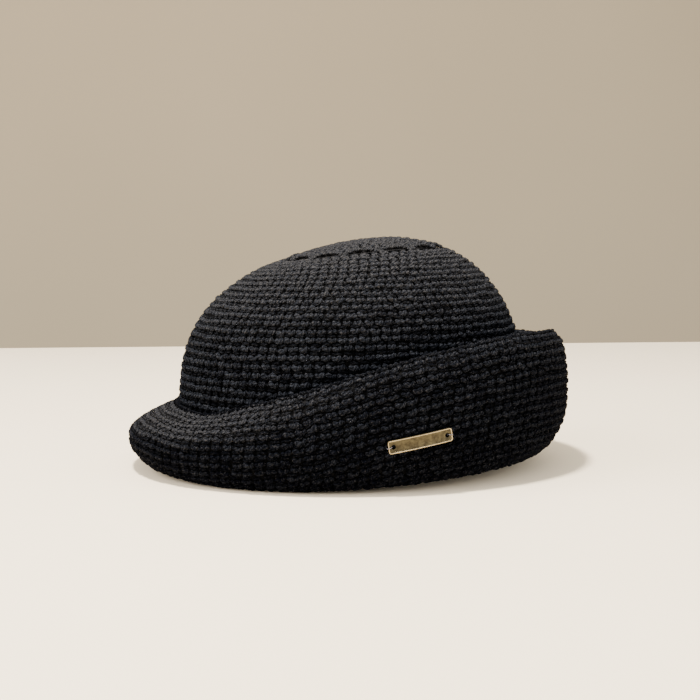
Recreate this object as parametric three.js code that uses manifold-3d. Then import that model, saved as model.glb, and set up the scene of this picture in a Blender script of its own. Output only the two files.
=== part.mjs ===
// Crocheted hat with a turned-up brim: a soft dome crown with a ring of eyelet
// slots near the top, a brim folded up all round that stands tall at the back
// and leans back onto the crown at the front as a short visor, and a small bare
// name plate sewn to one side with two thread loops.
// Millimetres, +Z up, +X to the back of the hat, -X to the visor, -Y the side
// with the plate. The hat stands on the bottom fold of its brim at z = 0.
import * as THREE from 'three';
import { mergeVertices } from 'three/addons/utils/BufferGeometryUtils.js';
import Module from 'manifold-3d';

const wasm = await Module();
wasm.setup();

// Driving dimensions
const WALL = 4.5; // thickness of the crocheted fabric
const PLACE = { x: 0.25, y: 1.4 }; // centres the finished hat over the origin
const GAP = 0.3; // clearance between neighbouring pieces
const SEGMENTS = 64; // stations round the hat
const CROWN_FOOT = 8; // height at which the crown's wall ends and the brim's begins
const EYELET_COUNT = 14;
const EYELET_ROW = 2.0; // place of the eyelet ring, counted in rows of CROWN
const EYELET_LENGTH = 14.5;
const EYELET_WIDTH = 4.6;
const EYELET_START = 255; // station of the first eyelet
const PLATE_LENGTH = 36;
const PLATE_HEIGHT = 6.6;
const PLATE_THICK = 1.0;
const PLATE_RIM = 0.9; // width of the raised rim
const PLATE_RIM_RISE = 0.4;
const PLATE_HOLE_RADIUS = 1.05;
const PLATE_HOLE_INSET = 2.7; // hole centre from the plate's end
const PLATE_STATION = 275.8; // degrees round the brim
const PLATE_CENTRE_Z = 30;
const PLATE_TILT = 9; // degrees, rising to the back
const THREAD_RADIUS = 0.42;
const EDGE_SWAY = 7.5; // the edge stands higher on the plate's side, most at the back quarter

// Crown, outer surface: a row runs from its front point to its back point and
// swells sideways by halfY and lifts there by sideRise. The first row is the pole,
// the last is the foot.
const CROWN = [
  { frontX: 8, frontZ: 132.5, backX: 8, backZ: 132.5, halfY: 0, sideRise: 0 },
  { frontX: -14, frontZ: 128.4, backX: 30.5, backZ: 133.6, halfY: 22.5, sideRise: 0.6 },
  { frontX: -36.6, frontZ: 121.2, backX: 54, backZ: 128.8, halfY: 45, sideRise: 1.7 },
  { frontX: -58, frontZ: 113, backX: 73, backZ: 118.4, halfY: 64, sideRise: 1.6 },
  { frontX: -78.6, frontZ: 98.5, backX: 88, backZ: 102.5, halfY: 78.5, sideRise: 0.8 },
  { frontX: -91.5, frontZ: 82.5, backX: 97, backZ: 86, halfY: 86, sideRise: 0.3 },
  { frontX: -98.8, frontZ: 64, backX: 102.5, backZ: 68, halfY: 89, sideRise: 0 },
  { frontX: -101.3, frontZ: 44, backX: 104.5, backZ: 46, halfY: 89.5, sideRise: 0 },
  { frontX: -101.2, frontZ: 24, backX: 104.2, backZ: 25, halfY: 89, sideRise: 0 },
  { frontX: -100.5, frontZ: CROWN_FOOT, backX: 103.5, backZ: CROWN_FOOT, halfY: 88, sideRise: 0 },
];

// Brim sections, by station from the back (0) to the front (180), the same on
// both sides. Out is measured from the foot of the crown, outwards in plan.
const BRIM = [
  { station: 0, footOut: 2.5, footZ: 4, bulgeOut: 28, bulgeZ: 40, edgeOut: 19.5, edgeZ: 76.5, lean: 36 },
  { station: 30, footOut: 3, footZ: 3.5, bulgeOut: 26.5, bulgeZ: 40, edgeOut: 20, edgeZ: 78.4, lean: 32 },
  { station: 60, footOut: 4, footZ: 1.2, bulgeOut: 23, bulgeZ: 37, edgeOut: 17, edgeZ: 75.5, lean: 30 },
  { station: 90, footOut: 5, footZ: 0, bulgeOut: 20.5, bulgeZ: 31, edgeOut: 14, edgeZ: 65, lean: 32 },
  { station: 115, footOut: 7, footZ: 0, bulgeOut: 21, bulgeZ: 26, edgeOut: 10, edgeZ: 51.6, lean: 40 },
  { station: 135, footOut: 10, footZ: 0, bulgeOut: 24, bulgeZ: 21.5, edgeOut: 5.5, edgeZ: 43, lean: 52 },
  { station: 150, footOut: 12.5, footZ: 0, bulgeOut: 27.8, bulgeZ: 19, edgeOut: 4.2, edgeZ: 37.8, lean: 60 },
  { station: 165, footOut: 14.5, footZ: 1, bulgeOut: 30.6, bulgeZ: 17, edgeOut: 3.7, edgeZ: 38, lean: 63 },
  { station: 180, footOut: 15, footZ: 3.5, bulgeOut: 31.5, bulgeZ: 16, edgeOut: 3.6, edgeZ: 38.6, lean: 63 },
];

const rad = (degrees) => (degrees * Math.PI) / 180;

// Smooth value between the rows of a table, by the index of the row
function between(values, place) {
  const last = values.length - 1;
  const i = Math.min(Math.max(Math.floor(place), 0), last - 1);
  const t = place - i;
  const at = (k) => values[Math.min(Math.max(k, 0), last)];
  const inner = (k) => (k === 0 || k === last ? null : (at(k + 1) - at(k - 1)) / 2);
  const step = at(i + 1) - at(i);
  const start = inner(i) ?? step;
  const end = inner(i + 1) ?? step;
  const t2 = t * t;
  const t3 = t2 * t;
  return at(i) * (2 * t3 - 3 * t2 + 1) + start * (t3 - 2 * t2 + t)
    + at(i + 1) * (3 * t2 - 2 * t3) + end * (t3 - t2);
}

// The crown's profile from front foot over the pole to back foot, and its half width
const pole = CROWN.length - 1;
const front = CROWN.slice(1).reverse();
const profileX = [...front.map((r) => r.frontX), CROWN[0].frontX, ...CROWN.slice(1).map((r) => r.backX)];
const profileZ = [...front.map((r) => r.frontZ), CROWN[0].frontZ, ...CROWN.slice(1).map((r) => r.backZ)];
const profileY = [...front.map((r) => -r.halfY), 0, ...CROWN.slice(1).map((r) => r.halfY)];
const rise = [...front.map((r) => r.sideRise), 0, ...CROWN.slice(1).map((r) => r.sideRise)];

// A point of the crown's outer surface: row 0 is the pole, station in degrees from the back
function crownPoint(row, station) {
  const c = Math.cos(rad(station));
  const s = Math.sin(rad(station));
  const fx = between(profileX, pole - row);
  const fz = between(profileZ, pole - row);
  const bx = between(profileX, pole + row);
  const bz = between(profileZ, pole + row);
  const x = (fx + bx) / 2 + (c * (bx - fx)) / 2;
  const z = (fz + bz) / 2 + (c * (bz - fz)) / 2 + s * s * between(rise, pole + row);
  return new THREE.Vector3(x, s * between(profileY, pole + row), z);
}

// Outward unit normal of the crown
function crownNormal(row, station) {
  if (row < 0.02) {
    const across = crownPoint(0.05, 0).sub(crownPoint(0.05, 180));
    return new THREE.Vector3(-across.z, 0, across.x).normalize();
  }
  const top = Math.min(row + 0.01, pole);
  const down = crownPoint(top, station).sub(crownPoint(top - 0.02, station));
  const round = crownPoint(row, station + 0.5).sub(crownPoint(row, station - 0.5));
  return down.cross(round).normalize();
}

// Mesh from a grid of rings: each ring is a list of points, ring after ring
function skin(rings, closeRings) {
  const positions = [];
  const faces = [];
  const n = rings[0].length;
  for (const ring of rings) {
    for (const p of ring) {
      positions.push(p.x, p.y, p.z);
    }
  }
  const count = closeRings ? rings.length : rings.length - 1;
  for (let i = 0; i < count; i += 1) {
    const a = i * n;
    const b = ((i + 1) % rings.length) * n;
    for (let j = 0; j < n; j += 1) {
      const k = (j + 1) % n;
      faces.push(a + j, b + j, b + k, a + j, b + k, a + k);
    }
  }
  const geometry = new THREE.BufferGeometry();
  geometry.setAttribute('position', new THREE.Float32BufferAttribute(positions, 3));
  geometry.setIndex(faces);
  return geometry;
}

// Joins equal points and drops the triangles that collapse
function weld(geometry) {
  const bare = geometry.clone();
  bare.deleteAttribute('normal');
  bare.deleteAttribute('uv');
  const merged = mergeVertices(bare, 1e-4);
  const index = Array.from(merged.index.array);
  const kept = [];
  for (let i = 0; i < index.length; i += 3) {
    const [a, b, c] = index.slice(i, i + 3);
    if (a !== b && b !== c && c !== a) {
      kept.push(a, b, c);
    }
  }
  merged.setIndex(kept);
  return merged;
}

// Between a three.js geometry and a manifold solid
function toSolid(geometry) {
  const merged = weld(geometry);
  const mesh = new wasm.Mesh({
    numProp: 3,
    vertProperties: new Float32Array(merged.attributes.position.array),
    triVerts: new Uint32Array(merged.index.array),
  });
  return new wasm.Manifold(mesh);
}

function toGeometry(solid) {
  const mesh = solid.getMesh();
  const geometry = new THREE.BufferGeometry();
  geometry.setAttribute('position', new THREE.BufferAttribute(new Float32Array(mesh.vertProperties), 3));
  geometry.setIndex(Array.from(mesh.triVerts));
  geometry.computeVertexNormals();
  return geometry;
}

// Crown: an even shell under the outer surface, open at the foot
const OUTER_ROWS = [0, 0.5, 1, 1.5, 2, 2.5, 3, 3.4, 3.8, 4.2, 4.6, 5, 5.4, 5.8, 6.3, 7, 8, 9];
const INNER_ROWS = [9, 7.6, 6.6, 6, 5.5, 5, 4.5, 4, 3.5, 3, 2.4, 1.8, 1.2, 0.6, 0];

function crownRing(row, depth) {
  const ring = [];
  for (let i = 0; i < SEGMENTS; i += 1) {
    const station = (360 * i) / SEGMENTS;
    const normal = crownNormal(row, station);
    ring.push(crownPoint(row, station).addScaledVector(normal, -depth));
  }
  return ring;
}

function crownShell() {
  const rings = OUTER_ROWS.map((row) => crownRing(row, 0));
  rings.push(...INNER_ROWS.map((row) => crownRing(row, WALL)));
  return toSolid(skin(rings, false));
}

// Slot with round ends, pushed through the fabric along the normal
function eyelet(station) {
  const half = (EYELET_LENGTH - EYELET_WIDTH) / 2;
  const r = EYELET_WIDTH / 2;
  const outline = new THREE.Shape();
  outline.moveTo(-half, -r);
  outline.lineTo(half, -r);
  outline.absarc(half, 0, r, -Math.PI / 2, Math.PI / 2, false);
  outline.lineTo(-half, r);
  outline.absarc(-half, 0, r, Math.PI / 2, (3 * Math.PI) / 2, false);
  const depth = WALL * 3;
  const geometry = new THREE.ExtrudeGeometry(outline, { depth, bevelEnabled: false, curveSegments: 3 });
  geometry.translate(0, 0, -depth / 2);
  const normal = crownNormal(EYELET_ROW, station);
  const ahead = crownPoint(EYELET_ROW, station + 1);
  const along = ahead.sub(crownPoint(EYELET_ROW, station - 1)).normalize();
  const across = new THREE.Vector3().crossVectors(normal, along).normalize();
  along.crossVectors(across, normal).normalize();
  const place = new THREE.Matrix4().makeBasis(along, across, normal);
  place.setPosition(crownPoint(EYELET_ROW, station).addScaledVector(normal, -WALL / 2));
  geometry.applyMatrix4(place);
  return toSolid(geometry);
}

function crownGeometry() {
  let shell = crownShell();
  for (let k = 0; k < EYELET_COUNT; k += 1) {
    shell = shell.subtract(eyelet(EYELET_START + (360 * k) / EYELET_COUNT));
  }
  return toGeometry(shell);
}

// How far the edge is lifted off the table's value on one side and dropped on the other
const sway = (station) => -EDGE_SWAY * Math.sin(rad(station)) * (1 + Math.cos(rad(station))) / 2;

// One column of BRIM at any station
const stations = BRIM.map((r) => r.station);

function brimValue(name, station) {
  const angle = Math.abs(((station + 180) % 360) - 180);
  let i = stations.findIndex((s) => s > angle) - 1;
  if (i < 0) {
    i = stations.length - 2;
  }
  const mirrored = (k) => {
    const last = BRIM.length - 1;
    if (k < 0) {
      return { at: -stations[-k], value: BRIM[-k][name] };
    }
    if (k > last) {
      return { at: 360 - stations[2 * last - k], value: BRIM[2 * last - k][name] };
    }
    return { at: stations[k], value: BRIM[k][name] };
  };
  const [p, a, b, q] = [mirrored(i - 1), mirrored(i), mirrored(i + 1), mirrored(i + 2)];
  const span = b.at - a.at;
  const t = (angle - a.at) / span;
  const start = ((b.value - p.value) / (b.at - p.at)) * span;
  const end = ((q.value - a.value) / (q.at - a.at)) * span;
  const t2 = t * t;
  const t3 = t2 * t;
  return a.value * (2 * t3 - 3 * t2 + 1) + start * (t3 - 2 * t2 + t)
    + b.value * (3 * t2 - 2 * t3) + end * (t3 - t2);
}

// The brim's section at a station as [out, z] pairs: the skin runs from the head
// opening, under the fold and up the outer face to the edge
function brimSkin(station) {
  const v = (name) => brimValue(name, station);
  const foot = Math.max(v('footZ'), 0);
  const top = CROWN_FOOT - GAP;
  const round = Math.min(3.2, top - foot - 0.2);
  const points = [[-WALL, top]];
  for (const a of [0, 30, 60, 90]) {
    points.push([-WALL + round * (1 - Math.cos(rad(a))), foot + round * (1 - Math.sin(rad(a)))]);
  }
  const low = v('bulgeZ') - foot;
  const reach = v('bulgeOut') - v('footOut');
  for (const a of [0, 15, 30, 45, 60, 75, 90]) {
    points.push([v('footOut') + reach * Math.sin(rad(a)), v('bulgeZ') - low * Math.cos(rad(a))]);
  }
  const lean = rad(v('lean'));
  const edgeZ = v('edgeZ') + sway(station);
  const height = edgeZ - v('bulgeZ');
  const start = new THREE.Vector2(v('bulgeOut'), v('bulgeZ'));
  const end = new THREE.Vector2(v('edgeOut'), edgeZ);
  const pull = start.distanceTo(end) / 3;
  const upper = new THREE.CubicBezierCurve(
    start,
    new THREE.Vector2(start.x, start.y + Math.min(pull, height * 0.45)),
    new THREE.Vector2(end.x + pull * Math.sin(lean), end.y - pull * Math.cos(lean)),
    end,
  );
  for (let k = 1; k <= 7; k += 1) {
    const p = upper.getPoint(k / 7);
    points.push([p.x, p.y]);
  }
  return points;
}

// The same run one fabric thickness further in, on the crown's side of the brim
function brimLining(points) {
  const lining = [];
  for (let i = points.length - 1; i >= 0; i -= 1) {
    const a = points[Math.max(i - 1, 0)];
    const b = points[Math.min(i + 1, points.length - 1)];
    const dx = b[0] - a[0];
    const dz = b[1] - a[1];
    const length = Math.hypot(dx, dz);
    lining.push([points[i][0] - (WALL * dz) / length, points[i][1] + (WALL * dx) / length]);
  }
  return lining;
}

// Section point to space: out runs square to the crown's foot in plan
function brimPlace(station, [out, z]) {
  const foot = crownPoint(pole, station);
  const normal = crownNormal(pole, station).setZ(0).normalize();
  foot.addScaledVector(normal, out);
  return foot.setZ(z);
}

function brimGeometry() {
  const rings = [];
  const LINING = 14;
  for (let i = 0; i < SEGMENTS; i += 1) {
    const station = (360 * i) / SEGMENTS;
    const points = brimSkin(station);
    const lining = brimLining(points).slice(0, LINING - 1);
    const floor = Math.max(brimValue('footZ', station), 0) + WALL;
    const top = CROWN_FOOT - GAP;
    const corner = Math.min(floor, top);
    for (const p of lining) {
      p[1] = Math.max(p[1], corner);
    }
    lining.push([0, top]);
    rings.push([...points, ...lining].map((p) => brimPlace(station, p)));
  }
  return weld(skin(rings, true));
}

// Plate: a strip bent round the brim, with a raised rim and a hole at each end
function plateFrame() {
  const points = brimSkin(PLATE_STATION);
  let k = points.findIndex((p, i) => i > 6 && p[1] > PLATE_CENTRE_Z);
  const a = points[k - 1];
  const b = points[k];
  const t = (PLATE_CENTRE_Z - a[1]) / (b[1] - a[1]);
  const at = [a[0] + (b[0] - a[0]) * t, PLATE_CENTRE_Z];
  const origin = brimPlace(PLATE_STATION, at);
  const next = brimPlace(PLATE_STATION + 1, at);
  const before = brimPlace(PLATE_STATION - 1, at);
  const along = next.sub(before).normalize();
  const up = brimPlace(PLATE_STATION, b).sub(brimPlace(PLATE_STATION, a)).normalize();
  const out = new THREE.Vector3().crossVectors(along, up).normalize();
  up.crossVectors(out, along).normalize();
  return { origin, along, up, out };
}

function plateToWorld(geometry) {
  const { origin, along, up, out } = plateFrame();
  const basis = new THREE.Matrix4().makeBasis(along, up, out);
  const turn = new THREE.Matrix4().makeRotationZ(rad(PLATE_TILT));
  const place = basis.multiply(turn);
  place.setPosition(origin.clone().addScaledVector(out, GAP));
  geometry.applyMatrix4(place);
  return geometry;
}

// Bends a strip lying in its own xy plane round the brim's curve in plan
const BEND_RADIUS = 158;

function bend(geometry) {
  const p = geometry.attributes.position;
  for (let i = 0; i < p.count; i += 1) {
    const angle = p.getX(i) / BEND_RADIUS;
    const r = BEND_RADIUS + p.getZ(i);
    p.setX(i, r * Math.sin(angle));
    p.setZ(i, r * Math.cos(angle) - BEND_RADIUS);
  }
  return geometry;
}

// Rounded strip cut into short lengths so that it can be bent
function stripShape(length, height, corner) {
  const shape = new THREE.Shape();
  const x = length / 2;
  const y = height / 2;
  const steps = 10;
  shape.moveTo(-x + corner, -y);
  for (let k = 1; k <= steps; k += 1) {
    shape.lineTo(-x + corner + ((2 * x - 2 * corner) * k) / steps, -y);
  }
  shape.absarc(x - corner, -y + corner, corner, -Math.PI / 2, 0, false);
  shape.absarc(x - corner, y - corner, corner, 0, Math.PI / 2, false);
  for (let k = steps; k >= 0; k -= 1) {
    shape.lineTo(-x + corner + ((2 * x - 2 * corner) * k) / steps, y);
  }
  shape.absarc(-x + corner, y - corner, corner, Math.PI / 2, Math.PI, false);
  shape.absarc(-x + corner, -y + corner, corner, Math.PI, (3 * Math.PI) / 2, false);
  return shape;
}

function slab(shape, from, to) {
  const geometry = new THREE.ExtrudeGeometry(shape, { depth: to - from, bevelEnabled: false, curveSegments: 3 });
  return geometry.translate(0, 0, from);
}

function plateGeometry() {
  const full = PLATE_THICK + PLATE_RIM_RISE;
  let solid = toSolid(slab(stripShape(PLATE_LENGTH, PLATE_HEIGHT, 1.2), 0, full));
  const face = stripShape(PLATE_LENGTH - 2 * PLATE_RIM, PLATE_HEIGHT - 2 * PLATE_RIM, 0.6);
  solid = solid.subtract(toSolid(slab(face, PLATE_THICK, full + 1)));
  for (const side of [-1, 1]) {
    const hole = new THREE.Shape();
    hole.absarc(side * (PLATE_LENGTH / 2 - PLATE_HOLE_INSET), 0, PLATE_HOLE_RADIUS, 0, 2 * Math.PI, false);
    const cutter = new THREE.ExtrudeGeometry(hole, { depth: full + 2, bevelEnabled: false, curveSegments: 8 });
    solid = solid.subtract(toSolid(cutter.translate(0, 0, -1)));
  }
  const geometry = toGeometry(solid.refineToLength(5));
  return plateToWorld(bend(geometry));
}

// Thread loop from the plate's hole over its end and down to the fabric
function threadGeometry(side) {
  const end = PLATE_LENGTH / 2;
  const hole = end - PLATE_HOLE_INSET;
  const top = PLATE_THICK + PLATE_RIM_RISE + THREAD_RADIUS + 0.15;
  const beyond = end + THREAD_RADIUS + 0.25;
  const path = new THREE.CatmullRomCurve3([
    new THREE.Vector3(side * (hole - 0.1), 0, 0.5),
    new THREE.Vector3(side * hole, 0, 1.2),
    new THREE.Vector3(side * (hole + 0.9), 0, top),
    new THREE.Vector3(side * (end - 0.3), 0, top),
    new THREE.Vector3(side * beyond, 0, 1.0),
    new THREE.Vector3(side * (beyond + 0.05), 0, 0.45),
  ]);
  const ring = new THREE.Shape();
  ring.absarc(0, 0, THREAD_RADIUS, 0, 2 * Math.PI, false);
  const geometry = new THREE.ExtrudeGeometry(ring, { steps: 14, extrudePath: path, curveSegments: 4 });
  return plateToWorld(bend(geometry));
}

const group = new THREE.Group();
group.name = 'crocheted_hat';
group.position.set(PLACE.x, PLACE.y, 0);

function add(name, geometry, colour, metalness, roughness) {
  const material = new THREE.MeshStandardMaterial({ color: colour, metalness, roughness });
  material.name = `${name}_material`;
  geometry.computeVertexNormals();
  const mesh = new THREE.Mesh(geometry, material);
  mesh.name = name;
  group.add(mesh);
}

add('crown', crownGeometry(), 0x1d1b1d, 0, 0.9);
add('brim', brimGeometry(), 0x1d1b1d, 0, 0.9);
add('name_plate', plateGeometry(), 0x9a865a, 1, 0.45);
add('plate_thread_front', threadGeometry(-1), 0x161516, 0, 0.85);
add('plate_thread_back', threadGeometry(1), 0x161516, 0, 0.85);

export default group;
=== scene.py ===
"""A crocheted hat with a turned-up brim, dressed stitch by stitch round its frame.

The fabric's surfaces are figured in millimetres: a crown from its pole to its foot, and
a brim from its free edge down round the bottom fold. Each stitch is modelled once from
plump strands and copied along the rounds of both. A brass plate is sewn to one side.
"""

import logging
import math
from collections.abc import Callable
from dataclasses import dataclass
from enum import Enum

import bpy
import numpy as np
from mathutils import Matrix, Vector

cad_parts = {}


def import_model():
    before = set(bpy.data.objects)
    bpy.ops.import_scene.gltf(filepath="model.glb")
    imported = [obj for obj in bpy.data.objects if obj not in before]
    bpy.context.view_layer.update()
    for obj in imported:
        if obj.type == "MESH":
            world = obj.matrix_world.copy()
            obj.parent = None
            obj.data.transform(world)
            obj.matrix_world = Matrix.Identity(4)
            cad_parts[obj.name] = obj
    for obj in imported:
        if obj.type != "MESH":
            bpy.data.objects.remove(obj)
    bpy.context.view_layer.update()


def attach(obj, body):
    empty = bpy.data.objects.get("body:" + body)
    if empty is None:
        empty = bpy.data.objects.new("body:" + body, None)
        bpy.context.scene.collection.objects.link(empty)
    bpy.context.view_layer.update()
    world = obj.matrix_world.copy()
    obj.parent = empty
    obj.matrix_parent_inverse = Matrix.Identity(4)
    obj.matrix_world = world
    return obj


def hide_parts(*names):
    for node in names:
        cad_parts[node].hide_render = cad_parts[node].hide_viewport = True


LOG = logging.getLogger("hat")
MM = 0.001
Array = np.ndarray
Colour = tuple[float, float, float, float]
Value = bpy.types.NodeSocket | float

# In millimetres, as in the frame's solids
WALL = 4.5
GAP = 0.3
CENTRE = np.array([0.25, 1.4, 0.0])
CROWN_FOOT = 8.0
# copies are painted lighter up to this height above the table, as painted light from above
PAINTED_LIGHT_HEIGHT = 70.0
PRESS_BELOW, PRESS_LIFT, PRESS_SHARE = 0.6, 0.12, 0.8
TABLE_CLEAR = 0.1
TINY = 0.00001

FINE_ANGLES = np.linspace(0, 360, 721)
GROUND_ANGLES = np.arange(0, 360, 2.5)


class End(Enum):
    """The plate's two ends, by their direction along it."""

    FRONT = -1
    BACK = 1


class Part(Enum):
    """The parts of a mesh that an edit can pick, and the mesh's list of each."""

    VERT = "vertices"
    EDGE = "edges"
    FACE = "polygons"


# Shapes of the fabric


def glide(values: Array, place: Array) -> Array:
    """Reads a table between its rows along a smooth curve.

    Args:
        values: The table's column, evenly spaced.
        place: Places in the table, counted in rows.

    Returns:
        The value at each place.
    """
    last = len(values) - 1
    i = np.clip(np.floor(place).astype(int), 0, last - 1)
    t = place - i
    slope = np.gradient(values)
    return hermite(values[i], values[i + 1], slope[i], slope[i + 1], t)


def hermite(a: Array, b: Array, start: Array, end: Array, t: Array) -> Array:
    """Cubic from a to b with the given slopes, at t from 0 to 1."""
    t2, t3 = t * t, t * t * t
    return a * (2 * t3 - 3 * t2 + 1) + start * (t3 - 2 * t2 + t) + b * (3 * t2 - 2 * t3) + end * (t3 - t2)


def unit(v: Array) -> Array:
    """The vectors at length one."""
    return v / np.maximum(np.linalg.norm(v, axis=-1, keepdims=True), 1e-9)


def directions(up_step: Array, along_step: Array) -> tuple[Array, Array, Array]:
    """Unit directions along, up and out of a surface, from a step up it and a step along it."""
    up, along = unit(up_step), unit(along_step)
    out = unit(np.cross(along, up))
    return along, unit(np.cross(out, along)), out


def run_of(ring: Array) -> Array:
    """Distance of each point from the first, along the line through them."""
    return np.concatenate([[0], np.cumsum(np.linalg.norm(np.diff(ring, axis=0), axis=-1))])


def shared_out(ring: Array, count: int, shift: float) -> Array:
    """Stations that share a round out evenly.

    Args:
        ring: The round's points at the fine angles.
        count: How many stations there are.
        shift: How far all of them are moved on, in parts of a share.

    Returns:
        The stations, in degrees.
    """
    run = run_of(ring)
    return np.interp(((np.arange(count) + shift) / count % 1) * run[-1], run, FINE_ANGLES)


@dataclass(frozen=True)
class CrownShape:
    """The crown's outer surface, by row from the pole (0) to the foot (9) and by station.

    Each row gives its front point, its back point, its half width and its rise at the sides.
    """

    rows: tuple[tuple[float, ...], ...] = (
        (8, 132.5, 8, 132.5, 0, 0),
        (-14, 128.4, 30.5, 133.6, 22.5, 0.6),
        (-36.6, 121.2, 54, 128.8, 45, 1.7),
        (-58, 113, 73, 118.4, 64, 1.6),
        (-78.6, 98.5, 88, 102.5, 78.5, 0.8),
        (-91.5, 82.5, 97, 86, 86, 0.3),
        (-98.8, 64, 102.5, 68, 89, 0),
        (-101.3, 44, 104.5, 46, 89.5, 0),
        (-101.2, 24, 104.2, 25, 89, 0),
        (-100.5, CROWN_FOOT, 103.5, CROWN_FOOT, 88, 0),
    )

    @property
    def last(self) -> int:
        """The foot's row."""
        return len(self.rows) - 1

    def point(self, row: Array, station: Array) -> Array:
        """Points of the outer surface.

        Args:
            row: Rows from the pole.
            station: Degrees round the hat from the back.

        Returns:
            Points in millimetres, in the hat's frame.
        """
        row, station = np.broadcast_arrays(np.asarray(row, float), np.asarray(station, float))
        fx, fz, bx, bz, half, lift = (np.array(c, float) for c in zip(*self.rows))
        xs = np.concatenate([fx[:0:-1], bx])
        zs = np.concatenate([fz[:0:-1], bz])
        ys = np.concatenate([-half[:0:-1], half])
        rs = np.concatenate([lift[:0:-1], lift])
        c, s = np.cos(np.radians(station)), np.sin(np.radians(station))
        x0, x1 = glide(xs, self.last - row), glide(xs, self.last + row)
        z0, z1 = glide(zs, self.last - row), glide(zs, self.last + row)
        x = (x0 + x1) / 2 + c * (x1 - x0) / 2
        z = (z0 + z1) / 2 + c * (z1 - z0) / 2 + s * s * glide(rs, self.last + row)
        return np.stack([x, s * glide(ys, self.last + row), z], axis=-1) + CENTRE

    def axes(self, row: Array, station: Array) -> tuple[Array, Array, Array]:
        """Unit directions along the round, up to the pole and out of the surface."""
        row, station = np.clip(np.asarray(row, float), 0.05, self.last - 0.02), np.asarray(station)
        return directions(
            self.point(row - 0.02, station) - self.point(row + 0.02, station),
            self.point(row, station + 0.5) - self.point(row, station - 0.5),
        )

    def depth_of_rows(self) -> tuple[Array, Array]:
        """Rows from 0 to the last, and the mean distance of each from the pole."""
        rows = np.linspace(0, self.last, 451)
        stations = np.arange(0, 360, 15)
        points = self.point(rows[:, None], stations[None, :])
        steps = np.linalg.norm(np.diff(points, axis=0), axis=-1).mean(axis=1)
        return rows, np.concatenate([[0], np.cumsum(steps)])

    def girth(self, row: float) -> float:
        """Length of the round at a row."""
        ring = self.point(row, np.linspace(0, 360, 361))
        return float(np.linalg.norm(np.diff(ring, axis=0), axis=-1).sum())

    def even_stations(self, row: float, count: int, shift: float) -> Array:
        """Stations that share a round out evenly, shifted by a part of a stitch."""
        return shared_out(self.point(max(row, 0.05), FINE_ANGLES), count, shift)


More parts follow.
